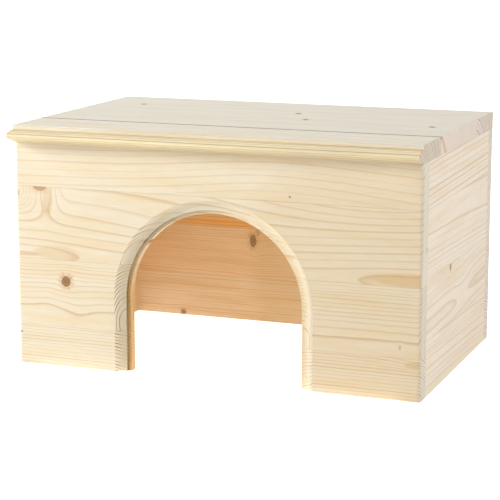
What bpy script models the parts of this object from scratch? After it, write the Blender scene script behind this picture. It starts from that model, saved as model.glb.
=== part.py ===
"""A guinea pig house of edge-glued spruce boards, open underneath, with a moulded archway in its front wall.

The front and back walls cover the ends of the side walls, and the roof lies flush on all four with a moulded
nose in front. Each board is glued up from staves. Blind fluted dowels hold the walls to each other and to the
roof. The origin is the middle of the ground that the house covers, +Z is up, and the archway faces -Y.
"""

import math

import bmesh
import bpy
from mathutils import Euler, Matrix

# Driving dimensions, in metres

# The box
HOUSE_WIDTH = 0.380  # across the front wall
WALL_DEPTH = 0.244  # from the face of the front wall to the face of the back wall
WALL_HEIGHT = 0.204
WALL_BOARD = 0.016  # planed thickness of the wall boards
ROOF_BOARD = 0.016  # planed thickness of the roof
GLUE_GAP = 0.0003  # left between two pieces that are glued together
FRONT_CORNER_RADIUS = 0.003  # on the upright outer edges of the front wall
BACK_CORNER_RADIUS = 0.001  # on the upright outer edges of the back wall and the rear edge of the roof

# The archway: a half circle on upright jambs, with a hollow moulding cut into the face all round it
DOOR_RADIUS = 0.081
DOOR_SPRING = 0.068  # height of the half circle's centre
HOLLOW_RADIUS = 0.0105
HOLLOW_OFFSET = 0.0047  # how far in front of the face the hollow's centre stands
BAND_WIDTH = 0.003  # flat band between the hollow and the door's own edge
BAND_STEP = 0.0025  # how far the band lies behind the hollow's inner edge

# The roof's moulded nose, measured forwards from the face of the front wall and down from the top
NOSE_REACH = 0.016  # how far the lip stands out
NOSE_TOP_REACH = 0.003  # how far the flat top reaches
NOSE_LEDGE = 0.003  # width of the ledge at the foot of the step
NOSE_STEP = 0.0044  # height of the upright step under the top
NOSE_LIP_DROP = 0.0097  # how far the lip lies under the top
NOSE_LIP_RADIUS = 0.0014  # between the lip and the sloping underside
NOSE_BOARD_COVER = 0.0515  # how far the nose board reaches back over the walls

# The staves: where the glue lines between them lie
FRONT_SEAM_SHARES = (0.231, 0.611)  # of the moulded archway's height
FRONT_TOP_SEAM_SHARE = 0.08  # of the wood above the moulded archway
BACK_SEAM_SHARES = (0.215, 0.46, 0.73)  # of the wall's height
LEFT_SEAM_SHARES = (0.17, 0.475, 0.78)
RIGHT_SEAM_SHARES = (0.24, 0.50, 0.80)
ROOF_SEAM_SHARES = (0.335, 0.665)  # of the roof behind the nose board

# The dowels
DOWEL_DIAMETER = 0.006
DOWEL_LENGTH = 0.030
DOWEL_CHAMFER = 0.0008
DOWEL_FLUTES = 10
FLUTE_DEPTH = 0.0003
DOWEL_FIT = 0.0003  # between a dowel and the wall of its bore
DOWEL_END_GAP = 0.0005  # room for glue at each end of a bore
DOWEL_BITE_SHARE = 0.625  # of a board's thickness, bored from its inner face
CORNER_DOWEL_SHARES = (0.11, 0.56, 0.855)  # of the wall's height
ROOF_DOWEL_SHARES = (0.12, 0.58, 0.88)  # of the wall's depth, from the front

# How finely round shapes are drawn
ARCH_STEPS = 36
MOULDING_STEPS = 7
CORNER_STEPS = 5
BORE_SIDES = 16
OVERRUN = 0.004  # how far a cutter stands out of what it cuts
SHARP_ANGLE = math.radians(30)  # faces that meet more steeply keep a sharp edge

# Planed, untreated spruce, as sRGB
FRONT_COLOUR = (0.94, 0.86, 0.71)
SIDE_COLOUR = (0.90, 0.83, 0.73)
BACK_COLOUR = (0.90, 0.78, 0.60)
ROOF_COLOUR = (0.87, 0.83, 0.74)
NOSE_COLOUR = (0.93, 0.83, 0.63)
DOWEL_COLOUR = (0.80, 0.63, 0.46)
STAVE_TINT_SHARES = (1.0, 0.96, 0.985, 0.94)  # one stave is a little darker than the next
WOOD_ROUGHNESS = 0.62

# Places that follow from the driving dimensions

FRONT_FACE = NOSE_REACH - (WALL_DEPTH + NOSE_REACH) / 2
BACK_FACE = FRONT_FACE + WALL_DEPTH
WALL_TOP = WALL_HEIGHT - GLUE_GAP
SIDE_LENGTH = WALL_DEPTH - 2 * (WALL_BOARD + GLUE_GAP)
HOLLOW_FOOT = DOOR_RADIUS + BAND_WIDTH  # the arch's radius at the hollow's inner edge
MOULDED_RADIUS = HOLLOW_FOOT + math.sqrt(HOLLOW_RADIUS ** 2 - HOLLOW_OFFSET ** 2)
MOULDED_HEIGHT = DOOR_SPRING + MOULDED_RADIUS


def clear_scene():
    for thing in list(bpy.data.objects):
        bpy.data.objects.remove(thing, do_unlink=True)


def linear(srgb):
    """An sRGB colour turned to linear light."""
    return [((value + 0.055) / 1.055) ** 2.4 for value in srgb]


def planed_wood(name, srgb, tint):
    wood = bpy.data.materials.new(name)
    wood.use_nodes = True
    shader = wood.node_tree.nodes["Principled BSDF"]
    shader.inputs["Base Color"].default_value = (*linear([value * tint for value in srgb]), 1)
    shader.inputs["Roughness"].default_value = WOOD_ROUGHNESS
    shader.inputs["Metallic"].default_value = 0
    return wood


def frame(name, place, turn):
    """An empty that carries the pieces of one board, whose outlines are drawn in its X and Y."""
    empty = bpy.data.objects.new(name, None)
    empty.location = place
    empty.rotation_euler = [math.radians(angle) for angle in turn]
    bpy.context.collection.objects.link(empty)
    return empty


def solid_from(shape, name, parent):
    """Makes the mesh shape an object, smooth on its round faces."""
    bmesh.ops.recalc_face_normals(shape, faces=shape.faces)
    mesh = bpy.data.meshes.new(name)
    shape.to_mesh(mesh)
    shape.free()
    mesh.shade_smooth()
    mesh.set_sharp_from_angle(angle=SHARP_ANGLE)
    solid = bpy.data.objects.new(name, mesh)
    solid.parent = parent
    bpy.context.collection.objects.link(solid)
    return solid


def lofted(name, rings, parent):
    """A closed solid through rings of equally many points, with a flat cap on the first and the last."""
    shape = bmesh.new()
    loops = [[shape.verts.new(point) for point in ring] for ring in rings]
    for lower, upper in zip(loops, loops[1:]):
        for left in range(len(lower)):
            right = (left + 1) % len(lower)
            shape.faces.new((lower[left], lower[right], upper[right], upper[left]))
    shape.faces.new(loops[0][::-1])
    shape.faces.new(loops[-1])
    return solid_from(shape, name, parent)


def stave(name, board, outline, low, high, colour, tint):
    """A stave of a board: its outline carried along the board's Z from low to high."""
    rings = [[(x, y, height) for x, y in outline] for height in (low, high)]
    solid = lofted(name, rings, board)
    solid.data.materials.append(planed_wood(name + "_spruce", colour, tint))
    return solid


def cut(solid, cutter):
    boolean = solid.modifiers.new("cut by " + cutter.name, "BOOLEAN")
    boolean.operation = "DIFFERENCE"
    boolean.solver = "MANIFOLD"
    boolean.object = cutter


def as_cutter(solid):
    solid.hide_render = True
    solid.display_type = "WIRE"
    return solid


def arc(centre, radii, start, end, steps):
    """Points on a circle or ellipse round centre, from angle start to angle end, both included."""
    turns = [start + (end - start) * step / steps for step in range(steps + 1)]
    return [(centre[0] + radii[0] * math.cos(turn), centre[1] + radii[1] * math.sin(turn)) for turn in turns]


def spans(seams, start, end):
    """Where the staves between these seams begin and end, each half a glue gap short of its seam."""
    lows = [start, *[seam + GLUE_GAP / 2 for seam in seams]]
    highs = [*[seam - GLUE_GAP / 2 for seam in seams], end]
    return list(zip(lows, highs))


def outer_corner(edge, radius, inwards):
    """A wall's upright outer corner from above, from its end to its face.

    inwards is 1 at the wall's start and -1 at its other end.
    """
    if radius == 0:
        return [(edge, 0)]
    centre = (edge + inwards * radius, radius)
    return arc(centre, (-inwards * radius, -radius), 0, math.pi / 2, CORNER_STEPS)


def wall_plan(start, end, start_radius, end_radius):
    """A wall board from above, from x = start to x = end. Its outer face is at y = 0."""
    left = outer_corner(start, start_radius, 1)
    right = outer_corner(end, end_radius, -1)
    return [(start, WALL_BOARD), *left, *right[::-1], (end, WALL_BOARD)]


def arch_cutter(wall):
    """The doorway and its moulding: one arch outline after another, whose radius shrinks with the depth.

    The hollow starts at a sharp edge on the face, at the moulded radius, and its inner edge faces forwards.
    A step behind that lies a flat band. From the band the door's edge runs straight to the inner face.
    """
    hollow = arc((HOLLOW_FOOT, -HOLLOW_OFFSET), (HOLLOW_RADIUS, HOLLOW_RADIUS),
                 math.asin(HOLLOW_OFFSET / HOLLOW_RADIUS), math.pi / 2, MOULDING_STEPS)
    band_depth = HOLLOW_RADIUS - HOLLOW_OFFSET + BAND_STEP
    profile = [(MOULDED_RADIUS, -OVERRUN), *hollow, (HOLLOW_FOOT, band_depth), (DOOR_RADIUS, band_depth)]
    profile.append((DOOR_RADIUS, WALL_BOARD + OVERRUN))
    rings = []
    for radius, depth in profile:
        half_circle = arc((0, DOOR_SPRING), (radius, radius), 0, math.pi, ARCH_STEPS)
        outline = [(radius, -OVERRUN), *half_circle, (-radius, -OVERRUN)]
        rings.append([(x, depth, z) for x, z in outline])
    return as_cutter(lofted("archway_cutter", rings, wall))


def nose_outline():
    """The nose board from its left end, as (backwards from the wall's face, up from the roof's underside).

    From the flat top: an upright step, a ledge, a quarter of an ellipse down to the lip, a small round, and a
    slope that is tangent to that round and ends where the roof meets the face of the wall.
    """
    lip_height = ROOF_BOARD - NOSE_LIP_DROP
    ledge_end = NOSE_TOP_REACH + NOSE_LEDGE
    bulge = (NOSE_REACH - ledge_end, NOSE_LIP_DROP - NOSE_STEP)
    curve = arc((ledge_end, lip_height), bulge, math.pi / 2, 0, MOULDING_STEPS)
    lip_centre = (NOSE_REACH - NOSE_LIP_RADIUS, lip_height)
    slope = math.atan2(lip_centre[1], lip_centre[0]) - math.asin(NOSE_LIP_RADIUS / math.hypot(*lip_centre))
    lip = arc(lip_centre, (NOSE_LIP_RADIUS, NOSE_LIP_RADIUS), 0, slope - math.pi / 2, CORNER_STEPS)
    step = [(NOSE_TOP_REACH, ROOF_BOARD), (NOSE_TOP_REACH, ROOF_BOARD - NOSE_STEP)]
    front = [*step, *curve, *lip[1:], (0, 0)]
    back = NOSE_BOARD_COVER - GLUE_GAP / 2
    return [(back, 0), (back, ROOF_BOARD), *[(-forwards, up) for forwards, up in front]]


def roof_outline(start, end, radius):
    """A stave of the roof from its left end, with a round upper edge at x = end where a radius is given."""
    if radius == 0:
        return [(start, 0), (end, 0), (end, ROOF_BOARD), (start, ROOF_BOARD)]
    edge = arc((end - radius, ROOF_BOARD - radius), (radius, radius), 0, math.pi / 2, CORNER_STEPS)
    return [(start, 0), (end, 0), *edge, (start, ROOF_BOARD)]


def front_wall():
    """Two rows of staves beside the doorway, one stave that spans it, and a plain one on top."""
    wall = frame("front_wall", (0, FRONT_FACE, 0), (0, 0, 0))
    doorway = arch_cutter(wall)
    edge = HOUSE_WIDTH / 2
    seams = [share * MOULDED_HEIGHT for share in FRONT_SEAM_SHARES]
    seams.append(MOULDED_HEIGHT + FRONT_TOP_SEAM_SHARE * (WALL_TOP - MOULDED_HEIGHT))
    lower, upper, arch, top = spans(seams, 0, WALL_TOP)
    left = wall_plan(-edge, 0, FRONT_CORNER_RADIUS, 0)
    right = wall_plan(0, edge, 0, FRONT_CORNER_RADIUS)
    whole = wall_plan(-edge, edge, FRONT_CORNER_RADIUS, FRONT_CORNER_RADIUS)
    pieces = (
        ("front_left_lower_stave", left, lower),
        ("front_right_lower_stave", right, lower),
        ("front_left_upper_stave", left, upper),
        ("front_right_upper_stave", right, upper),
        ("front_arch_stave", whole, arch),
        ("front_top_stave", whole, top),
    )
    staves = []
    for number, (name, plan, (low, high)) in enumerate(pieces):
        tint = STAVE_TINT_SHARES[number % len(STAVE_TINT_SHARES)]
        staves.append(stave(name, wall, plan, low, high, FRONT_COLOUR, tint))
        cut(staves[-1], doorway)
    return staves


def plain_wall(side, place, turn, length, radius, seam_shares, colour):
    """A wall of four full-length staves. place is the foot of its outer face, turn its angle about Z."""
    wall = frame(side + "_wall", place, (0, 0, turn))
    plan = wall_plan(-length / 2, length / 2, radius, radius)
    rows = spans([share * WALL_HEIGHT for share in seam_shares], 0, WALL_TOP)
    staves = []
    for row, tint, (low, high) in zip(("bottom", "lower", "upper", "top"), STAVE_TINT_SHARES, rows):
        staves.append(stave(f"{side}_{row}_stave", wall, plan, low, high, colour, tint))
    return staves


def roof():
    """The moulded nose board and three staves behind it, drawn from the left end and carried to the right."""
    board = frame("roof", (-HOUSE_WIDTH / 2, FRONT_FACE, WALL_HEIGHT), (90, 0, 90))
    rear = WALL_DEPTH - NOSE_BOARD_COVER
    seams = [NOSE_BOARD_COVER + share * rear for share in ROOF_SEAM_SHARES]
    rows = spans(seams, NOSE_BOARD_COVER + GLUE_GAP / 2, WALL_DEPTH)
    nose_tint = STAVE_TINT_SHARES[0]
    staves = [stave("roof_nose_board", board, nose_outline(), 0, HOUSE_WIDTH, NOSE_COLOUR, nose_tint)]
    radii = (0, 0, BACK_CORNER_RADIUS)
    for row, radius, tint, (start, end) in zip(("front", "middle", "rear"), radii, STAVE_TINT_SHARES, rows):
        outline = roof_outline(start, end, radius)
        staves.append(stave(f"roof_{row}_stave", board, outline, 0, HOUSE_WIDTH, ROOF_COLOUR, tint))
    return staves


def dowel_places():
    """Name, foot and turn of each dowel: its foot lies deep in the wall's or the roof's inner face."""
    places = []
    wall_bite = WALL_BOARD * DOWEL_BITE_SHARE
    roof_bite = ROOF_BOARD * DOWEL_BITE_SHARE
    front_foot = FRONT_FACE + WALL_BOARD - wall_bite
    back_foot = BACK_FACE - WALL_BOARD + wall_bite
    for side, x in (("left", WALL_BOARD / 2 - HOUSE_WIDTH / 2), ("right", HOUSE_WIDTH / 2 - WALL_BOARD / 2)):
        for row, share in zip(("low", "middle", "high"), CORNER_DOWEL_SHARES):
            height = share * WALL_HEIGHT
            places.append((f"front_{side}_dowel_{row}", (x, front_foot, height), (-90, 0, 0)))
            places.append((f"back_{side}_dowel_{row}", (x, back_foot, height), (90, 0, 0)))
        for row, share in zip(("front", "middle", "rear"), ROOF_DOWEL_SHARES):
            foot = (x, FRONT_FACE + share * WALL_DEPTH, WALL_HEIGHT + roof_bite)
            places.append((f"roof_{side}_dowel_{row}", foot, (180, 0, 0)))
    return places


def fluted(radius):
    """A dowel's section: one point on each flute's ridge and one in its valley."""
    step = math.pi / DOWEL_FLUTES
    radii = [radius - FLUTE_DEPTH * (point % 2) for point in range(2 * DOWEL_FLUTES)]
    return [(r * math.cos(step * point), r * math.sin(step * point)) for point, r in enumerate(radii)]


def dowel(name, foot, turn):
    """A fluted dowel with chamfered ends, which starts at its foot and runs along its own Z."""
    thick = fluted(DOWEL_DIAMETER / 2)
    thin = fluted(DOWEL_DIAMETER / 2 - DOWEL_CHAMFER)
    sections = (
        (thin, 0),
        (thick, DOWEL_CHAMFER),
        (thick, DOWEL_LENGTH - DOWEL_CHAMFER),
        (thin, DOWEL_LENGTH),
    )
    rings = [[(x, y, height) for x, y in outline] for outline, height in sections]
    pin = lofted(name, rings, None)
    pin.location = foot
    pin.rotation_euler = [math.radians(angle) for angle in turn]
    pin.data.materials.append(planed_wood(name + "_beech", DOWEL_COLOUR, 1))


def dowel_bores(places):
    """One cutter that holds every bore, each a little wider and longer than its dowel."""
    shape = bmesh.new()
    radius = DOWEL_DIAMETER / 2 + DOWEL_FIT
    for _, foot, turn in places:
        to_middle = Matrix.Translation((0, 0, DOWEL_LENGTH / 2))
        along = Euler([math.radians(angle) for angle in turn]).to_matrix().to_4x4()
        bmesh.ops.create_cone(shape, cap_ends=True, segments=BORE_SIDES, radius1=radius, radius2=radius,
                              depth=DOWEL_LENGTH + 2 * DOWEL_END_GAP,
                              matrix=Matrix.Translation(foot) @ along @ to_middle)
    return as_cutter(solid_from(shape, "dowel_bores_cutter", None))


def house():
    middle = (FRONT_FACE + BACK_FACE) / 2
    edge = HOUSE_WIDTH / 2
    boards = front_wall()
    boards += plain_wall("back", (0, BACK_FACE, 0), 180, HOUSE_WIDTH, BACK_CORNER_RADIUS, BACK_SEAM_SHARES,
                         BACK_COLOUR)
    boards += plain_wall("left", (-edge, middle, 0), -90, SIDE_LENGTH, 0, LEFT_SEAM_SHARES, SIDE_COLOUR)
    boards += plain_wall("right", (edge, middle, 0), 90, SIDE_LENGTH, 0, RIGHT_SEAM_SHARES, SIDE_COLOUR)
    boards += roof()
    places = dowel_places()
    bores = dowel_bores(places)
    for board in boards:
        cut(board, bores)
    for name, foot, turn in places:
        dowel(name, foot, turn)


clear_scene()
house()
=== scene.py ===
"""The looks of a guinea pig house of planed, untreated spruce: dressed boards, their wood, a pale studio.

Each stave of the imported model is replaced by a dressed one, which closes the glue gap, has softened arrises
and finely drawn mouldings, and keeps its dowel bores. The beech dowels stay as packed. Lengths are in
metres, the wood's figure is in millimetres, and the archway faces -Y.
"""

import collections
import math

import bmesh
import bpy
import numpy as np
from mathutils import Matrix, Vector


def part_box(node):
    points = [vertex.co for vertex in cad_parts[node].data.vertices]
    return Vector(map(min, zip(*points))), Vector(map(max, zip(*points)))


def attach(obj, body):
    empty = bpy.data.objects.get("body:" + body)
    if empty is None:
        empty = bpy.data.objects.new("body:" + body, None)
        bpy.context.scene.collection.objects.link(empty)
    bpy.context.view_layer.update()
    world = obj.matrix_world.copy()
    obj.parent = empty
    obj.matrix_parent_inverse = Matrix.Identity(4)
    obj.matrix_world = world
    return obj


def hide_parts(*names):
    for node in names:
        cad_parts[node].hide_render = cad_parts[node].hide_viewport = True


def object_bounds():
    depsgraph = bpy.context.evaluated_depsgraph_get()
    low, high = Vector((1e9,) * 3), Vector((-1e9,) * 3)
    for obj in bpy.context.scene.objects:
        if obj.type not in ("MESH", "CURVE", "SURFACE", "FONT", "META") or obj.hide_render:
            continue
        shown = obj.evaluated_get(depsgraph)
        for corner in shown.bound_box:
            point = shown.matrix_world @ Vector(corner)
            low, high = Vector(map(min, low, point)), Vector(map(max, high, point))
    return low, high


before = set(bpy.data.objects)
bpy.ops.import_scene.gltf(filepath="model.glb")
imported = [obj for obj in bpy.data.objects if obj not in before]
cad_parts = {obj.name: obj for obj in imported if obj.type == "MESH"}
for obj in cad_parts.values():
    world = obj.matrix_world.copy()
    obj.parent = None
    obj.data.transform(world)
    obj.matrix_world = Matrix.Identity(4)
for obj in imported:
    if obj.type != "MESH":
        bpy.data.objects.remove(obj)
cad_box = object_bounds()

MM = 0.001

# The mouldings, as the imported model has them
DOOR_RADIUS = 81 * MM
DOOR_SPRING = 68 * MM  # height of the half circle's centre
HOLLOW_RADIUS = 10.5 * MM
HOLLOW_OFFSET = 4.7 * MM  # how far in front of the wall's face the hollow's centre stands
BAND_WIDTH = 3 * MM  # flat band between the hollow and the door's own edge
BAND_DEPTH = HOLLOW_RADIUS - HOLLOW_OFFSET + 2.5 * MM  # a step behind the hollow's inner edge
FRONT_CORNER_RADIUS = 3 * MM
BACK_CORNER_RADIUS = 1 * MM
NOSE_REACH = 16 * MM  # how far the roof's lip stands out of the front wall
NOSE_TOP_REACH = 3 * MM
NOSE_LEDGE = 3 * MM
NOSE_STEP = 4.4 * MM
NOSE_LIP_DROP = 9.7 * MM
NOSE_LIP_RADIUS = 1.4 * MM

# What the sandpaper leaves of a sharp edge
NOSE_ARRIS = 0.5 * MM
HOLLOW_ARRIS = 0.7 * MM  # between the hollow and the step
DOOR_ARRIS = 0.4 * MM
SEAM_ARRIS = 1.0 * MM  # at the roof's open seam behind the nose
END_ARRIS = 0.25 * MM  # at the foot of the walls and both ends of the roof

# The bores round the dowels
BORE_CLEARANCE = 0.3 * MM
BORE_END_ROOM = 0.5 * MM

# How finely round shapes are drawn
MOULDING_STEPS = 20
CORNER_STEPS = 8
ARRIS_STEPS = 3
ARCH_STEPS = 96
HAUNCH_STEPS = 16  # along the start of the half circle, below the stave that spans the doorway
RIM_STEPS = 5  # up each end of the stave that spans the doorway
BORE_SIDES = 32
SHARP_ANGLE = math.radians(50)

# The photograph's camera
FOCAL_PIXELS = 1759.4
FRAME_PIXELS = 500
SENSOR_WIDTH = 36  # of the camera's own millimetres
CAMERA_PLACE = (0.5655, -1.5038, 0.418)
CAMERA_TURN = math.radians(20.846)
CAMERA_DIP = math.radians(11.293)

UP, RIGHT, BACKWARDS = np.eye(3)[[2, 0, 1]]
Y_AXIS, Z_AXIS = 1, 2


# Boards

Board = collections.namedtuple("Board", "grain across out face thickness")


def board_of(node, across, out):
    """The frame of a board, read off one of its staves.

    Its grain runs along across x out, and its outer face lies face metres from the origin along out.
    """
    ends = np.array([np.array(corner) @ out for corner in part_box(node)])
    return Board(np.cross(across, out), across, out, ends.max(), np.ptp(ends))


def on_board(board, along, across, depth):
    """Points in space from places on a board: grain * along + across * across + out * (face - depth)."""
    along, across, depth = np.broadcast_arrays(along, across, depth)
    return (along[..., None] * board.grain + across[..., None] * board.across
            + (board.face - depth)[..., None] * board.out)


def spans(nodes, axis, start, end):
    """Where each of these neighbours begins and ends along an axis, halfway across the glue gaps."""
    boxes = [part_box(node) for node in nodes]
    seams = [(near[1][axis] + far[0][axis]) / 2 for near, far in zip(boxes, boxes[1:])]
    return dict(zip(nodes, zip([start, *seams], [*seams, end])))


# Outlines

def arc(centre, radii, start, end, steps):
    """Points of an ellipse, centre + (rx cos t, ry sin t), for t from start to end, both included."""
    turn = np.linspace(start, end, steps + 1)
    return np.stack([centre[0] + radii[0] * np.cos(turn), centre[1] + radii[1] * np.sin(turn)], axis=1)


def rounded(corners, radii, steps):
    """An outline through these corners, each replaced by an arc that touches both its sides.

    With a and b the unit vectors from a corner to its neighbours and h half the angle between them, the arc
    of radius r has its centre at corner + (a + b) / |a + b| * r / sin h, and touches the sides r / tan h
    away from the corner.
    """
    corners = np.array(corners, float)
    outline = []
    neighbours = np.roll(corners, 1, 0), np.roll(corners, -1, 0)
    for corner, before, after, radius in zip(corners, *neighbours, radii):
        if radius == 0:
            outline.append(corner[None])
            continue
        a = (before - corner) / np.linalg.norm(before - corner)
        b = (after - corner) / np.linalg.norm(after - corner)
        half = math.acos(a @ b) / 2
        centre = corner + (a + b) / np.linalg.norm(a + b) * radius / math.sin(half)
        first, last = (corner + side * radius / math.tan(half) - centre for side in (a, b))
        start = math.atan2(first[1], first[0])
        sweep = (math.atan2(last[1], last[0]) - start + math.pi) % math.tau - math.pi
        outline.append(arc(centre, (radius, radius), start, start + sweep, steps))
    return np.concatenate(outline)


def inset(outlines, distances):
    """Closed outlines with every side moved inwards by a distance, one for each outline.

    A corner between sides with the unit normals m and n moves by distance * (m + n) / (1 + m . n).
    """
    after = np.roll(outlines, -1, axis=-2) - outlines
    after /= np.linalg.norm(after, axis=-1, keepdims=True)
    before = np.roll(after, 1, axis=-2)
    normals = [np.stack([-side[..., 1], side[..., 0]], axis=-1) for side in (before, after)]
    x, y = outlines[..., 0], outlines[..., 1]
    area = np.sum(x * np.roll(y, -1, axis=-1) - y * np.roll(x, -1, axis=-1), axis=-1)
    lean = 1 + np.sum(normals[0] * normals[1], axis=-1, keepdims=True)
    shift = (normals[0] + normals[1]) / lean
    return outlines + shift * (np.sign(area) * distances)[..., None, None]


def stations(low, high, low_radius, high_radius):
    """Where outlines stand along a prism, and how far each is drawn in: a quarter round at each soft end.

    At the angle t the quarter round stands radius * (1 - cos t) from the end and is drawn in by
    radius * (1 - sin t).
    """
    places, draws = [], []
    for end, inwards, radius in ((low, 1, low_radius), (high, -1, high_radius)):
        turn = np.linspace(0, math.pi / 2, ARRIS_STEPS + 1) if radius else np.array([math.pi / 2])
        places.append(end + inwards * radius * (1 - np.cos(turn)))
        draws.append(radius * (1 - np.sin(turn)))
    return np.concatenate([places[0], places[1][::-1]]), np.concatenate([draws[0], draws[1][::-1]])


# Solids

def in_scene(name, data):
    """A new object in the scene."""
    made = bpy.data.objects.new(name, data)
    bpy.context.scene.collection.objects.link(made)
    return made


def solid(name, rings):
    """A closed mesh through rings of equally many points, with a flat cap on the first and the last ring."""
    count, points = rings.shape[:2]
    ring, point = np.meshgrid(np.arange(count - 1), np.arange(points), indexing="ij")
    after = (point + 1) % points
    near, far = ring * points, (ring + 1) * points
    sides = np.stack((near + point, near + after, far + after, far + point), axis=-1).reshape(-1, 4)
    caps = [np.arange(points)[::-1].tolist(), np.arange((count - 1) * points, count * points).tolist()]
    mesh = bpy.data.meshes.new(name)
    mesh.from_pydata(rings.reshape(-1, 3).tolist(), [], sides.tolist() + caps)
    shape = bmesh.new()
    shape.from_mesh(mesh)
    bmesh.ops.recalc_face_normals(shape, faces=shape.faces)
    shape.to_mesh(mesh)
    shape.free()
    return in_scene(name, mesh)


def bore(name, dowel):
    """The hole for a dowel: a cylinder on the dowel's axis, a little wider and longer than the dowel."""
    low, high = (np.array(corner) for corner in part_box(dowel))
    axis = np.argmax(high - low)
    sides = [side for side in range(3) if side != axis]
    middle = (low + high) / 2
    radius = (high - low)[sides].min() / 2 + BORE_CLEARANCE
    circle = arc(middle[sides], (radius, radius), 0, math.tau, BORE_SIDES)[:-1]
    rings = np.empty((2, BORE_SIDES, 3))
    rings[:, :, sides] = circle
    rings[:, :, axis] = np.array([low[axis] - BORE_END_ROOM, high[axis] + BORE_END_ROOM])[:, None]
    return solid(name, rings)


def cut_bores(piece, node):
    """Cuts from a dressed stave the bores of the dowels that its node's box meets, and applies the cuts."""
    low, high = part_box(node)
    cutters = []
    for dowel in DOWELS:
        near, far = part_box(dowel)
        if all(near[axis] < high[axis] and far[axis] > low[axis] for axis in range(3)):
            cutters.append(bore(dowel + "_bore", dowel))
            cut = piece.modifiers.new(dowel, "BOOLEAN")
            cut.operation = "DIFFERENCE"
            cut.solver = "EXACT"
            cut.object = cutters[-1]
    finished = piece.evaluated_get(bpy.context.evaluated_depsgraph_get())
    piece.data = bpy.data.meshes.new_from_object(finished)
    piece.modifiers.clear()
    for cutter in cutters:
        bpy.data.objects.remove(cutter)


def dressed(node, rings, board, slot, seams):
    """A dressed stave in the place of its node: bored, smooth where it is round and flat where planed."""
    piece = solid("planed_" + node, rings)
    cut_bores(piece, node)
    piece.data.name = piece.name
    piece.data.shade_smooth()
    piece.data.set_sharp_from_angle(angle=SHARP_ANGLE)
    flat_faces = piece.modifiers.new("flat faces", "WEIGHTED_NORMAL")
    flat_faces.keep_sharp = True
    piece.data.materials.append(spruce(node, board, slot, seams))
    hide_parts(node)
    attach(piece, "root")


# Walls

def wall_plan(start, end, corner_radius, thickness):
    """A board from above, as (along, depth), with round outer corners."""
    corners = [(start, thickness), (start, 0), (end, 0), (end, thickness)]
    return rounded(corners, [0, corner_radius, corner_radius, 0], CORNER_STEPS)


def carried_up(board, plan, low, high):
    """A board's outline carried up from low to high, with a softened edge where it stands on the ground."""
    heights, draws = stations(low, high, END_ARRIS if low == 0 else 0, 0)
    outlines = inset(np.broadcast_to(plan, (len(heights), *plan.shape)), draws)
    return on_board(board, outlines[..., 0], heights[:, None], outlines[..., 1])


def door_profile(thickness):
    """The moulded door edge from the wall's face to its back, as (radius of the arch, depth).

    The hollow is (foot + r cos t, r sin t - offset), from asin(offset / r) at the wall's face to where a
    small round turns it into the step. A flat band leads from the step to the door's own softened edge.
    """
    foot = DOOR_RADIUS + BAND_WIDTH
    start, end = math.asin(HOLLOW_OFFSET / HOLLOW_RADIUS), math.acos(HOLLOW_ARRIS / HOLLOW_RADIUS)
    hollow = arc((foot, -HOLLOW_OFFSET), (HOLLOW_RADIUS, HOLLOW_RADIUS), start, end, MOULDING_STEPS)
    centre = hollow[-1] + (0, HOLLOW_ARRIS)
    lip = arc(centre, (HOLLOW_ARRIS, HOLLOW_ARRIS), -math.pi / 2, -math.pi, ARRIS_STEPS)
    corners = [lip[-1], (foot, BAND_DEPTH), (DOOR_RADIUS, BAND_DEPTH), (DOOR_RADIUS, thickness),
               (hollow[0, 0], thickness)]
    edge = rounded(corners, [0, 0, DOOR_ARRIS, DOOR_ARRIS, 0], ARRIS_STEPS)
    return np.concatenate([hollow[:-1], lip[:-1], edge])


def reach(radius, height):
    """How far an arch of this radius stands from its middle at a height: sqrt(radius^2 - climb^2) above the
    spring, and radius below it."""
    climb = np.maximum(height - DOOR_SPRING, 0)
    return np.sqrt(radius ** 2 - climb ** 2)


def jamb_stave(board, side, low, high, edge):
    """A stave beside the doorway, as level sections: the door's profile follows the arch with the height."""
    climb = np.linspace(DOOR_SPRING, high, HAUNCH_STEPS + 1) if high > DOOR_SPRING else np.array([high])
    heights, draws = stations(low, climb[0], END_ARRIS if low == 0 else 0, 0)
    heights = np.concatenate([heights, climb[1:]])
    draws = np.concatenate([draws, np.zeros(len(climb) - 1)])
    door = door_profile(board.thickness)[::-1]
    outer = wall_plan(0, edge, FRONT_CORNER_RADIUS, board.thickness)[CORNER_STEPS + 2:]
    outlines = np.empty((len(heights), len(door) + len(outer), 2))
    outlines[:, :len(door), 0] = reach(door[:, 0], heights[:, None])
    outlines[:, :len(door), 1] = door[:, 1]
    outlines[:, len(door):] = outer
    outlines = inset(outlines, draws)
    return on_board(board, side * outlines[..., 0], heights[:, None], outlines[..., 1])


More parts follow.
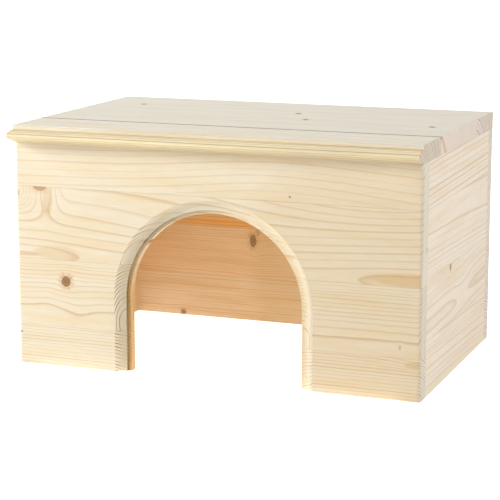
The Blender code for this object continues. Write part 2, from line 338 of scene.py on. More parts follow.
def arch_stave(board, low, high, edge):
    """The stave that spans the doorway: sections that turn about the arch's centre, from foot to foot.

    Each ring of the door's profile runs from the angle where it leaves the lower seam, asin(climb / radius),
    to the same angle on the other side. The outer end of a section climbs the wall's end while its angle is
    below that of the upper corner, and then lies on the upper seam at (high - spring) / tan(angle).
    """
    door = door_profile(board.thickness)
    first = np.arcsin((low - DOOR_SPRING) / door[:, 0])
    corner = math.atan2(high - DOOR_SPRING, edge)
    rim = np.linspace(first[0], corner, RIM_STEPS + 1)
    crown = np.linspace(corner, math.pi - corner, ARCH_STEPS + 1)
    turn = np.concatenate([rim[:-1], crown, (math.pi - rim)[::-1][1:]])
    share = (turn - math.pi / 2) / (math.pi / 2 - first[0])
    turns = math.pi / 2 + share[:, None] * (math.pi / 2 - first)
    inner = np.stack([door[:, 0] * np.cos(turns), DOOR_SPRING + door[:, 0] * np.sin(turns)], axis=-1)
    rise = np.interp(np.minimum(turn, math.pi - turn), [first[0], corner], [low, high])
    over = np.where(rise < high, np.sign(np.cos(turn)) * edge, (high - DOOR_SPRING) / np.tan(turn))
    over = np.clip(over, -edge, edge)
    end = rounded([(0, board.thickness), (0, 0), (edge, 0)], [0, FRONT_CORNER_RADIUS, 0], CORNER_STEPS)[:-1]
    outer = np.empty((len(turn), len(end), 2))
    outer[..., 0] = np.clip(over[:, None], end[:, 0] - edge, edge - end[:, 0])
    outer[..., 1] = rise[:, None]
    places = np.concatenate([outer, inner], axis=1)
    depths = np.concatenate([end[:, 1], door[:, 1]])
    return on_board(board, places[..., 0], places[..., 1], depths)


# Roof

def nose_outline(back, thickness):
    """The nose board from its left end, as (backwards from the wall's face, down from the top).

    From the flat top an upright step falls to a ledge. A quarter of an ellipse runs from the ledge to the
    lip, and a small round joins it to the slope that ends where the roof meets the wall's face.
    """
    ledge = NOSE_TOP_REACH + NOSE_LEDGE
    radii = (NOSE_REACH - ledge, NOSE_LIP_DROP - NOSE_STEP)
    curve = arc((-ledge, NOSE_LIP_DROP), radii, -math.pi / 2, -math.pi, MOULDING_STEPS)
    centre = np.array([NOSE_REACH - NOSE_LIP_RADIUS, thickness - NOSE_LIP_DROP])
    slope = math.atan2(centre[1], centre[0]) - math.asin(NOSE_LIP_RADIUS / np.hypot(*centre))
    lip = arc((-centre[0], NOSE_LIP_DROP), (NOSE_LIP_RADIUS, NOSE_LIP_RADIUS), -math.pi,
              -math.pi - (math.pi / 2 - slope), CORNER_STEPS)
    top = [(-ledge, NOSE_STEP), (-NOSE_TOP_REACH, NOSE_STEP), (-NOSE_TOP_REACH, 0), (back, 0),
           (back, thickness), (0, thickness)]
    step = rounded(top, [0, 0, NOSE_ARRIS, SEAM_ARRIS, 0, 0], ARRIS_STEPS)
    return np.concatenate([step[1:], lip[::-1], curve[::-1][1:]])


def roof_outline(start, end, radii, thickness):
    """A stave of the roof from its left end, with its upper edges softened by the two radii."""
    corners = [(start, thickness), (start, 0), (end, 0), (end, thickness)]
    return rounded(corners, [0, *radii, 0], ARRIS_STEPS)


def carried_along(board, outline, half_length):
    """A roof stave's outline, as (across from the wall's face, depth), carried from end to end."""
    alongs, draws = stations(-half_length, half_length, END_ARRIS, END_ARRIS)
    outlines = inset(np.broadcast_to(outline, (len(alongs), *outline.shape)), draws)
    return on_board(board, alongs[:, None], outlines[..., 0] - BOARDS["front"].face, outlines[..., 1])


# The wood

SPRUCE_ROUGHNESS = 0.58  # planed and lightly sanded, neither oiled nor varnished
DRY_IOR = 1.5  # of wood and paper
BEECH_ROUGHNESS = 0.5
FIGURE_DEPTH = 0.05 * MM  # how far the hard latewood and the fibres stand out after planing
END_GRAIN_STARTS = 0.35  # of the way from a long-grain face to an end, as the cosine to the grain
END_GRAIN_FULL = 0.8
TOP_CONTRAST = 0.3  # of the rings on the nose board's flat top
MOULDED_REACH = 150  # mm from the middle of the front wall; its outer ends lie beyond
MOULDED_CONTRAST = 1.8  # of the rings on the archway's left side, where the cutter darkened them
SCORCH_SHADE_WIDTH = 0.5  # mm of the band, from the step on, painted as brown as the step for scorch and shade
CLOSED_SEAM = 0.12  # how much of an open seam's shade is left below its groove

# Patterns of the wood, as lengths along the grain and widths across it in millimetres
SLOW_BENDS = (170, 34, 2.0)  # of the rings, and how far they stray, in millimetres for a wander of 1
SHORT_BENDS = (46, 7, 0.44)
FIBRES = (14, 0.45)  # several times coarser than the real 0.03 mm, so that they show at all
STREAKS = (90, 7)
BEECH_RAYS = (3, 0.5)

# Where a noise begins to show and where it shows in full
GRAIN_LIMITS = (0.3, 0.7)  # of the fibres, and of the pores in the ends
STREAK_LIMITS = (0.42, 0.72)
KNOT_RAY_LIMITS = (0.52, 0.68)
BEECH_RAY_LIMITS = (0.58, 0.68)

SMOOTH = {"interpolation_type": "SMOOTHSTEP"}  # for maps whose ends are rounded off

FIBRE_TONES = (0.93, 1.02)  # as factors of the colour
PORE_TONES = (0.9, 1.04)
FIBRE_ROUGHNESS = (SPRUCE_ROUGHNESS + 0.06, SPRUCE_ROUGHNESS - 0.05)
RING_RELIEF = 0.6  # of the latewood, where the fibres have 1
RELIEF_STRENGTH = 0.6
BEECH_RELIEF = 0.4
DEEP_TONE_DEPTH = 0.9  # of a wall's thickness, where its deeper inner tone, painted shade of the inside, is full
STRIP_LEAN = 0.9  # of the roof's heartwood strip: how far it leans back for its depth
STRIP_SIDES = (1.2, 0.7)  # of half its width, from where it fades in to where it is full
STRIP_SHADE = 0.6

# What the hot cutter left, and painted shade where the surfaces face away from the key light, from 0 to 1,
# along the archway's left side
GOLDEN_AT_SPRING = 0.7
GOLDEN_UP_THE_ARCH = 0.2
GOLDEN_CLIMB = 0.75  # of the arch's radius above the spring, where it has paled
BROWN_STEP = 0.65
SCORCH_SHADE_FADES = (-45, 30)  # mm from the middle of the front wall
SCORCH_SHADE_RIGHT = 0.12

# A ring from its start at 0 to its end at 1
LATEWOOD_STARTS = 0.45
LATEWOOD_DARKEST = 0.93
LATEWOOD_POWER = 3.5  # how late the colour rises
FAINTEST_RING = 0.35
CLIMATE_PACE = 0.41  # how fast the ring width drifts from ring to ring

# A knot from its middle at 0 to its rim at 1, and what shows round it
KNOT_BEND = 0.25  # how far its outline strays
KNOT_RINGS = 3.3
KNOT_RING_SHADE = 1.1
KNOT_RIM_SPAN = (0.7, 0.95)
KNOT_EDGE_SPAN = (1.05, 0.85)
KNOT_HALO_SPAN, KNOT_HALO_SHADE = (2.1, 0.8), 0.55
KNOT_RAY_SPAN, KNOT_RAY_SHADE = (2.4, 0.9), 0.75

# the deeper tone of the walls' inner faces is painted warm shade of the inside of the house
Wood = collections.namedtuple("Wood", "early late streak ripe end_early end_late")
WOODS = {
    "front_spruce": Wood("#F6E8CE", "#CCA25E", "#F3DFB9", "#EFCF96", "#DFD3C0", "#6E4A28"),
    "side_spruce": Wood("#ECDECB", "#BFA07A", "#E6D2B6", "#F4BE70", "#E6DACA", "#A98966"),
    "back_spruce": Wood("#F5E7CB", "#C48648", "#EFC994", "#FBB554", "#E3D6C6", "#6E543A"),
    "nose_spruce": Wood("#FAF3E3", "#AA7430", "#F4E4C0", "#FFEEC2", "#DACBB6", "#553A22"),
    "roof_spruce": Wood("#F7F0DF", "#CDB88F", "#F1E7D1", "#E8D2A8", "#E2D3C4", "#5E4430"),
}
MOULDED_LEFT_PAINTED_LIGHT = "#F9E8CC"  # the archway's end grain: painted lighter on the left, which lies in shade, and darker on the right, where the key light falls
MOULDED_RIGHT_PAINTED_SHADE = "#CCC5B4"
# scorch and painted shade on the archway's left side: the golden door edge and the brown step
DOOR_EDGE_SCORCH_SHADE = "#DCA53A"
DOOR_STEP_SCORCH_SHADE = "#6A4823"
WALL_GLUE = "#945C1E"
ROOF_GROOVE_SHADE = "#553718"
# resinous wood, and in the middle of the back wall painted shade
RESIN_AND_INNER_SHADE = "#E2C08A"
HEART_STRIP = "#C9965A"
KNOT_HEART, KNOT_RING, KNOT_RIM, DEAD_KNOT = "#AE8256", "#8A6340", "#664426", "#2E2116"
KNOT_HALO, KNOT_RAY = "#DDA763", "#B98046"

# How a stave was sawn from the log, in millimetres along its grain, across it and behind its face. pith is
# where the log's middle lies (across, behind). It leans (across, behind) by so much for each millimetre
# along, and the stave bows away from it by bow at bow_centre, falling to nothing bow_reach away. Rings are
# ring_width wide, counted from heart millimetres off the pith, where the ring number is the distance in
# ring widths to the power widening. climate is how many rings their width drifts by, and wander how far
# they stray. contrast is how strongly the rings show on the faces, and end_contrast on the ends.
# The deep tone is how far the wood behind the face turns to a deeper colour: riper wood in the nose, and on
# the walls' inner faces painted warm shade of the inside of the house. Swells are (along, across, half
# length, half width, rings added), knots are (along, across, half length, half width, darkness), and tints
# are patches of deeper colour, of resinous wood and in the back wall of painted shade (along, across, half
# length, half width, amount). heart_strip is where (across from, across to) brown heartwood shows on the
# ends.
Figure = collections.namedtuple(
    "Figure",
    "pith ring_width heart widening lean bow bow_centre bow_reach climate wander seed contrast ripe swells"
    " knots heart_strip end_contrast tints",
    defaults=(0, 1, (0, 0), 0, 0, 190, 0.9, 1.6, 1, 1, 0, (), (), None, 1, ()),
)
ARCH_TINT = (140, 132, 130, 90, 0.2)  # the right half of the front wall is a little yellower
JAMB_TINT = (140, 50, 130, 150, 0.2)
INNER_PAINTED_SHADE = (0, 90, 60, 220, 0.5)  # painted shade inside the house, a broad patch in the back wall
FIGURES = {
    "front_arch_stave": Figure(
        (103, 45), 0.7, 44.95, 0.5, bow=1.3, climate=0, wander=0.1, seed=3.1, contrast=0.52,
        end_contrast=0.35,
        swells=((-188, 158, 11, 13, 3.6), (-160, 172, 12, 26, -4.0), (0, 132, 120, 22, 1.5),
                (-168, 103, 33, 9, -0.8), (155, 103, 25, 9, -0.45), (150, 190, 130, 45, 5.0)),
        tints=(ARCH_TINT, (190, 104.5, 61, 7.5, 0.75), (-150, 105, 28, 8, 0.45), (-158, 152, 6, 15, 0.4),
               (-165.6, 164.8, 8, 5, 0.9)),
        knots=((-165.6, 164.8, 6.6, 3.8, 0.4), (-189, 158, 2.2, 2.8, 0.4))),
    "front_top_stave": Figure(
        (120, 45), 5.2, seed=5.7, climate=0.6, contrast=0.34, end_contrast=0.3,
        swells=((60, 185, 110, 60, -1.9),), knots=((72.4, 169.5, 0.9, 0.7, 0.8),), tints=(ARCH_TINT,)),
    "front_left_upper_stave": Figure(
        (44, 45), 2.3, 0.7, bow=-0.6, seed=1.3, climate=0.5, contrast=0.6,
        swells=((-160, 60, 15, 20, -0.3), (-129, 58, 14, 20, 0.35)), knots=((-141.2, 79.5, 4.6, 4.8, 1.0),)),
    "front_right_upper_stave": Figure(
        (41, 45), 2.3, 0.7, bow=-0.6, seed=1.3, climate=0.5, contrast=0.65,
        knots=((171.5, 46.5, 1.0, 2.0, 0.25),), tints=(JAMB_TINT,)),
    "front_left_lower_stave": Figure(
        (-35, -25), 2.8, seed=7.9, wander=1.2, climate=0.4, contrast=0.7,
        knots=((-187.6, 29.4, 1.2, 0.6, 0.9),)),
    "front_right_lower_stave": Figure(
        (-35, -25), 2.8, seed=7.9, wander=1.2, climate=0.4, contrast=0.9,
        swells=((189, 34, 24, 6, 1.2),), tints=(JAMB_TINT, (186, 32, 12, 4, 0.6))),
    "right_top_stave": Figure((214, 12), 4.6, seed=2.2, lean=(0.02, 0), contrast=0.9),
    "right_upper_stave": Figure((152, 60), 2.4, seed=8.4, lean=(-0.03, 0), contrast=0.55),
    "right_lower_stave": Figure(
        (66, 40), 2.6, seed=4.6, lean=(0.05, 0), contrast=0.55,
        swells=((22, 78, 30, 13, 0.8),), knots=((-20.2, 100.6, 2.8, 4.6, 0.9),)),
    "right_bottom_stave": Figure((-20, 50), 3.6, seed=6.3, lean=(-0.03, 0), contrast=0.6),
    # deep tone on the left and back walls: painted warm shade of the inside of the house, deepest high on the
    # back wall
    "left_top_stave": Figure((192, 42), 2.4, seed=9.6, contrast=0.7, ripe=1),
    "left_upper_stave": Figure(
        (60, 40), 2.9, seed=2.9, contrast=0.7, ripe=1, knots=((38, 128, 4.2, 3.8, 0.8),)),
    "left_lower_stave": Figure((70, 55), 2.3, seed=5.1, bow=-2, bow_reach=115, contrast=0.8, ripe=1),
    "left_bottom_stave": Figure((-30, 30), 3.2, seed=3.7, contrast=0.7, ripe=0.8),
    "back_top_stave": Figure((120, -30), 3.0, seed=4.2, contrast=0.9, ripe=0.95, tints=(INNER_PAINTED_SHADE,)),
    "back_upper_stave": Figure(
        (165, 30), 3.1, seed=7.3, wander=1.4, contrast=0.85, ripe=0.92, tints=(INNER_PAINTED_SHADE,)),
    "back_lower_stave": Figure(
        (-20, 50), 2.2, seed=1.9, wander=1.2, contrast=0.5, ripe=0.42,
        knots=((47.2, 82, 3.4, 6.4, 0.85), (42, 89.5, 2.2, 4.0, 0.3)), tints=(INNER_PAINTED_SHADE,)),
    "back_bottom_stave": Figure(
        (-70, 42), 2.2, seed=6.8, contrast=0.5, ripe=0.28, knots=((123.4, 2.6, 2.6, 3.0, 0.8),),
        tints=(INNER_PAINTED_SHADE,)),
    "roof_nose_board": Figure(
        (-165, 65), 2.9, seed=8.8, wander=0.5, climate=0.5, contrast=0.95, ripe=1, end_contrast=1.7),
    "roof_front_stave": Figure(
        (-190, 110), 2.1, seed=3.4, contrast=0.35, end_contrast=0.25, heart_strip=(-63.5, -56),
        knots=((165.6, -1.1, 2.6, 3.0, 1.8),)),
    "roof_middle_stave": Figure(
        (-60, 90), 2.3, seed=9.1, contrast=0.35, end_contrast=0.4,
        knots=((22.4, 50.1, 2.4, 3.0, 1.7), (43.9, 9.3, 2.4, 3.0, 1.7))),
    "roof_rear_stave": Figure(
        (52, 50), 3.2, seed=5.5, contrast=0.3, end_contrast=1.7, knots=((-145.2, 70, 2.4, 3.0, 1.4),)),
}


def linear(hex_colour):
    """A colour written as sRGB hex turned to linear light, by the sRGB curve."""
    srgb = [int(hex_colour[place:place + 2], 16) / 255 for place in (1, 3, 5)]
    return (*(v / 12.92 if v <= 0.04045 else ((v + 0.055) / 1.055) ** 2.4 for v in srgb), 1)


def node(tree, kind, inputs=(), operation=None, **settings):
    """Adds a shader node with its settings, and sets or links its inputs. Hex colours are made linear.

    The inputs come by name, or in the order in which the node shows them. It gives the one output that
    shows, or all of them, to be called by name.
    """
    made = tree.nodes.new("ShaderNode" + kind)
    if operation:
        made.operation = operation
    for name, value in settings.items():
        setattr(made, name, value)
    sockets = [socket for socket in made.inputs if socket.enabled]
    if isinstance(inputs, dict):
        sockets = [made.inputs[name] for name in inputs]
        inputs = inputs.values()
    for socket, value in zip(sockets, inputs):
        if isinstance(value, bpy.types.NodeSocket):
            tree.links.new(value, socket)
        else:
            socket.default_value = linear(value) if isinstance(value, str) else value
    shown = [socket for socket in made.outputs if socket.enabled]
    return shown[0] if len(shown) == 1 else made.outputs


def mottled(tree, place, scale, limits, tones, detail=2):
    """A value that goes with a noise over the wood, from one tone at one limit to the other."""
    noise = node(tree, "TexNoise", {"Vector": place, "Scale": scale, "Detail": detail})["Fac"]
    return node(tree, "MapRange", (noise, *limits, *tones))


def along_grain(tree, place, length, width):
    """A place counted in lengths along the grain, and in widths across it and into the board."""
    return node(tree, "VectorMath", (place, (1 / length, 1 / width, 1 / width)), "MULTIPLY")


def off_middle(tree, place, along, across, half_length, half_width):
    """How far a place is from a point of the face, counted in half lengths and half widths."""
    offset = node(tree, "VectorMath", (place, (along, across, 0)), "SUBTRACT")
    return node(tree, "VectorMath", (offset, (1 / half_length, 1 / half_width, 0)), "MULTIPLY")


def latewood(tree, place, figure, swelling):
    """How dark the annual rings of a log are at a place in millimetres (along, across, out), from 0 to 1.

    The distance to the pith's line is the length of (0, across, out) less the pith, its lean and the bow,
    which is bow * (1 - ((along - bow centre) / bow reach)^2). The ring number is
    ((distance - heart) / ring width) ^ widening, plus the swells and a slow change of width. Within a ring
    the colour rises slowly into the dark latewood and drops at once at its end.
    """
    moved = place
    for length, width, size in (SLOW_BENDS, SHORT_BENDS):
        grain = along_grain(tree, place, length, width)
        noise = node(tree, "TexNoise", {"Vector": grain, "W": figure.seed, "Scale": 1, "Detail": 1},
                     noise_dimensions="4D")["Color"]
        centred = node(tree, "VectorMath", (noise, (0.5, 0.5, 0.5)), "SUBTRACT")
        stray = node(tree, "VectorMath", (centred, figure.wander * size), "SCALE")
        moved = node(tree, "VectorMath", (moved, stray), "ADD")

    along = node(tree, "SeparateXYZ", (place,))["X"]
    reach_share = node(tree, "Math", (along, figure.bow_centre), "SUBTRACT")
    reach_share = node(tree, "Math", (reach_share, figure.bow_reach), "DIVIDE")
    fall = node(tree, "Math", (reach_share, reach_share), "MULTIPLY")
    bow = node(tree, "Math", (fall, -figure.bow, figure.bow), "MULTIPLY_ADD")
    bowed = node(tree, "CombineXYZ", (0, 0, bow))
    leaned = node(tree, "VectorMath", ((0, figure.lean[0], -figure.lean[1]), along), "SCALE")
    middle = node(tree, "VectorMath", ((0, figure.pith[0], -figure.pith[1]), leaned), "ADD")
    middle = node(tree, "VectorMath", (middle, bowed), "SUBTRACT")

    radial = node(tree, "VectorMath", (moved, middle), "SUBTRACT")
    radial = node(tree, "VectorMath", (radial, (0, 1, 1)), "MULTIPLY")
    distance = node(tree, "VectorMath", (radial,), "LENGTH")
    beyond = node(tree, "Math", (distance, figure.heart), "SUBTRACT")
    beyond = node(tree, "Math", (beyond, 0), "MAXIMUM")
    number = node(tree, "Math", (beyond, figure.ring_width), "DIVIDE")
    number = node(tree, "Math", (number, figure.widening), "POWER")
    number = node(tree, "Math", (number, swelling), "ADD")
    years = node(tree, "Math", (number, CLIMATE_PACE, figure.seed), "MULTIPLY_ADD")
    climate = node(tree, "TexNoise", {"W": years, "Scale": 1, "Detail": 0}, noise_dimensions="1D")["Fac"]
    number = node(tree, "Math", (climate, figure.climate, number), "MULTIPLY_ADD")

    season = node(tree, "Math", (number,), "FRACT")
    rise = node(tree, "MapRange", (season, LATEWOOD_STARTS, LATEWOOD_DARKEST), **SMOOTH)
    rise = node(tree, "Math", (rise, LATEWOOD_POWER), "POWER")
    drop = node(tree, "MapRange", (season, 1.0, LATEWOOD_DARKEST), **SMOOTH)
    band = node(tree, "Math", (rise, drop), "MULTIPLY")
    year = node(tree, "Math", (number,), "FLOOR")
    year = node(tree, "Math", (year, figure.seed), "ADD")
    strength = node(tree, "TexWhiteNoise", {"W": year}, noise_dimensions="1D")["Value"]
    strength = node(tree, "MapRange", (strength, 0, 1, FAINTEST_RING, 1))
    return node(tree, "Math", (band, strength), "MULTIPLY")


def swell(tree, place, spot, rings, total):
    """Rings added round a point: rings * exp(-(distance in half lengths)^2), on top of the total so far."""
    offset = off_middle(tree, place, *spot)
    square = node(tree, "VectorMath", (offset, offset), "DOT_PRODUCT")
    fall = node(tree, "Math", (math.exp(-1), square), "POWER")
    return node(tree, "Math", (fall, rings, total), "MULTIPLY_ADD")


def knot(tree, place, spot):
    """A branch that runs through the stave. Gives the place with the grain parted round it, and the place
    from the knot's middle, where the knot's rim lies 1 away.

    The grain parts as water does round a pile: at a distance d, what lies at a height h off the knot's
    middle came from h * (1 - 1 / d^2), and at the rim from its middle.
    """
    offset = off_middle(tree, place, *spot)
    distance = node(tree, "VectorMath", (offset,), "LENGTH")
    outside = node(tree, "Math", (distance, 1), "MAXIMUM")
    share = node(tree, "Math", (outside, -2), "POWER")
    height = node(tree, "VectorMath", (offset, (0, spot[-1], 0)), "MULTIPLY")
    shift = node(tree, "VectorMath", (height, share), "SCALE")
    return node(tree, "VectorMath", (place, shift), "SUBTRACT"), offset


def painted_knot(tree, colour, offset, darkness):
    """A knot's own wood on top of a colour: a brown heart with rings, a dark rim, a tinted halo and rays.

    Above a darkness of 1 the heart turns to the near black of a dead knot. A noise bends the rim, and the
    rays are another noise, kept to directions.
    """
    amount = min(darkness, 1)
    bend = node(tree, "TexNoise", {"Vector": offset, "Scale": 1.3, "Detail": 2})["Fac"]
    bend = node(tree, "Math", (bend, 2 * KNOT_BEND, -KNOT_BEND), "MULTIPLY_ADD")
    distance = node(tree, "VectorMath", (offset,), "LENGTH")
    distance = node(tree, "Math", (distance, bend), "ADD")
    halo = node(tree, "MapRange", (distance, *KNOT_HALO_SPAN, 0, KNOT_HALO_SHADE * amount), **SMOOTH)
    inside = node(tree, "MapRange", (distance, *KNOT_EDGE_SPAN, 0, amount), **SMOOTH)
    rim = node(tree, "MapRange", (distance, *KNOT_RIM_SPAN))
    fade = node(tree, "MapRange", (distance, *KNOT_RAY_SPAN, 0, KNOT_RAY_SHADE * amount))
    direction = node(tree, "VectorMath", (offset,), "NORMALIZE")
    rays = mottled(tree, direction, 2.6, KNOT_RAY_LIMITS, (0, 1))
    rays = node(tree, "Math", (rays, fade), "MULTIPLY")
    years = node(tree, "Math", (distance, KNOT_RINGS), "MULTIPLY")
    years = node(tree, "Math", (years, KNOT_RING_SHADE), "PINGPONG")
    heart = KNOT_HEART
    for shade, tint in ((years, KNOT_RING), (rim, KNOT_RIM), (max(darkness - 1, 0), DEAD_KNOT)):
        heart = node(tree, "Mix", (shade, heart, tint), data_type="RGBA")
    for shade, tint in ((halo, KNOT_HALO), (rays, KNOT_RAY), (inside, heart)):
        colour = node(tree, "Mix", (shade, colour, tint), data_type="RGBA")
    return colour


def patch(tree, place, spot, amount):
    """How much of a patch shows: its amount within six tenths of an ellipse, and nothing at its edge."""
    offset = off_middle(tree, place, *spot)
    distance = node(tree, "VectorMath", (offset,), "LENGTH")
    return node(tree, "MapRange", (distance, 1.0, 0.6, 0, amount), **SMOOTH)


def glue_and_groove_shade(tree, place, seams):
    """How dark the nearest seam is: its strength up to half its width away, and nothing at its width. On the
    walls it is a glue line, on the roof painted shade in the open groove.

    It fades from half the groove's depth down to the whole. Along the line it varies with a slow noise, as a
    seam is more open here than there.
    """
    parts = node(tree, "SeparateXYZ", (place,))
    shade = 0.0
    for seam, look in seams:
        off = node(tree, "Math", (parts["Y"], seam / MM), "SUBTRACT")
        off = node(tree, "Math", (off,), "ABSOLUTE")
        line = node(tree, "MapRange", (off, look.width / 2, look.width, look.strength, 0))
        groove = node(tree, "MapRange", (parts["Z"], -look.depth, -look.depth / 2, CLOSED_SEAM, 1))
        line = node(tree, "Math", (line, groove), "MULTIPLY")
        shade = node(tree, "Math", (line, shade), "MAXIMUM")
    openness = mottled(tree, place, 0.035, (0.35, 0.6), (0.8, 1))
    return node(tree, "Math", (shade, openness), "MULTIPLY")


def strip_shade(tree, place, start, end):
    """A strip of heartwood through the board's thickness, with soft sides, which leans as the rings do."""
    parts = node(tree, "SeparateXYZ", (place,))
    half = (end - start) / 2
    lean = node(tree, "Math", (parts["Z"], STRIP_LEAN, parts["Y"]), "MULTIPLY_ADD")
    off = node(tree, "Math", (lean, start + half), "SUBTRACT")
    off = node(tree, "Math", (off,), "ABSOLUTE")
    return node(tree, "MapRange", (off, *(half * side for side in STRIP_SIDES), 0, STRIP_SHADE))


def scorched_and_shaded(tree, place, colour):
    """A colour with what the moulding's cutter left on the arch's left side, where it ran hot, and painted
    shade where that side faces away from the key light: a golden door edge inside the foot of the hollow,
    which pales up the arch, and a thin brown line on the step."""
    parts = node(tree, "SeparateXYZ", (place,))
    climb = node(tree, "Math", (parts["Y"], DOOR_SPRING / MM), "SUBTRACT")
    climb = node(tree, "Math", (climb, 0), "MAXIMUM")
    radius = node(tree, "CombineXYZ", (parts["X"], climb))
    radius = node(tree, "VectorMath", (radius,), "LENGTH")
    foot = (DOOR_RADIUS + BAND_WIDTH) / MM
    edge = node(tree, "MapRange", (radius, foot + HOLLOW_ARRIS / MM, foot))
    golden = node(tree, "MapRange", (
        climb, 0, GOLDEN_CLIMB * DOOR_RADIUS / MM, GOLDEN_AT_SPRING, GOLDEN_UP_THE_ARCH))
    brown = node(tree, "MapRange", (radius, foot - SCORCH_SHADE_WIDTH, foot - SCORCH_SHADE_WIDTH / 2, 0, BROWN_STEP))
    left = node(tree, "MapRange", (parts["X"], *SCORCH_SHADE_FADES, 1, SCORCH_SHADE_RIGHT))
    patches = mottled(tree, place, 0.03, (0.3, 0.6), (0.7, 1))
    scorch_and_shade = node(tree, "Math", (left, patches), "MULTIPLY")
    scorch_and_shade = node(tree, "Math", (scorch_and_shade, edge), "MULTIPLY")
    for shade, tint in ((golden, DOOR_EDGE_SCORCH_SHADE), (brown, DOOR_STEP_SCORCH_SHADE)):
        amount = node(tree, "Math", (shade, scorch_and_shade), "MULTIPLY")
        colour = node(tree, "Mix", (amount, colour, tint), data_type="RGBA")
    return colour


def end_grain(tree, place, rings, wood, figure, in_front):
    """The colour of the ends, where the cut fibres are greyer and darker, and the rings stand out more.

    In the front wall the ends that the archway bares are painted lighter on the left, which lies in shade,
    and darker on the right, where the key light falls, and their rings are most marked on the left, where the
    cutter ran hot.
    """
    cut, contrast = wood.end_early, figure.end_contrast
    if in_front:
        along = node(tree, "SeparateXYZ", (place,))["X"]
        right = node(tree, "MapRange", (along, -DOOR_RADIUS / MM, DOOR_RADIUS / MM))
        off = node(tree, "Math", (along,), "ABSOLUTE")
        outer = node(tree, "Math", (off, MOULDED_REACH), "GREATER_THAN")
        # painted light on the archway's left end grain and painted shade on its right
        moulded_light_and_shade = node(tree, "Mix", (right, MOULDED_LEFT_PAINTED_LIGHT, MOULDED_RIGHT_PAINTED_SHADE), data_type="RGBA")
        cut = node(tree, "Mix", (outer, moulded_light_and_shade, cut), data_type="RGBA")
        marked = node(tree, "MapRange", (right, 0, 1, MOULDED_CONTRAST, 1))
        contrast = node(tree, "MapRange", (outer, 0, 1, marked, figure.end_contrast))
    lines = node(tree, "Math", (rings, contrast), "MULTIPLY")
    ends = node(tree, "Mix", (lines, cut, wood.end_late), data_type="RGBA")
    if figure.heart_strip:
        strip = strip_shade(tree, place, *figure.heart_strip)
        ends = node(tree, "Mix", (strip, ends, HEART_STRIP), data_type="RGBA")
    pores = mottled(tree, place, 1.6, GRAIN_LIMITS, PORE_TONES)
    return node(tree, "Mix", (1, ends, pores), data_type="RGBA", blend_type="MULTIPLY")


def plain_material(name, roughness):
    """A material with nothing but its shader. Gives the material, its tree and the shader's inputs."""
    material = bpy.data.materials.new(name)
    material.use_nodes = True
    inputs = material.node_tree.nodes["Principled BSDF"].inputs
    inputs["Roughness"].default_value = roughness
    inputs["IOR"].default_value = DRY_IOR
    return material, material.node_tree, inputs


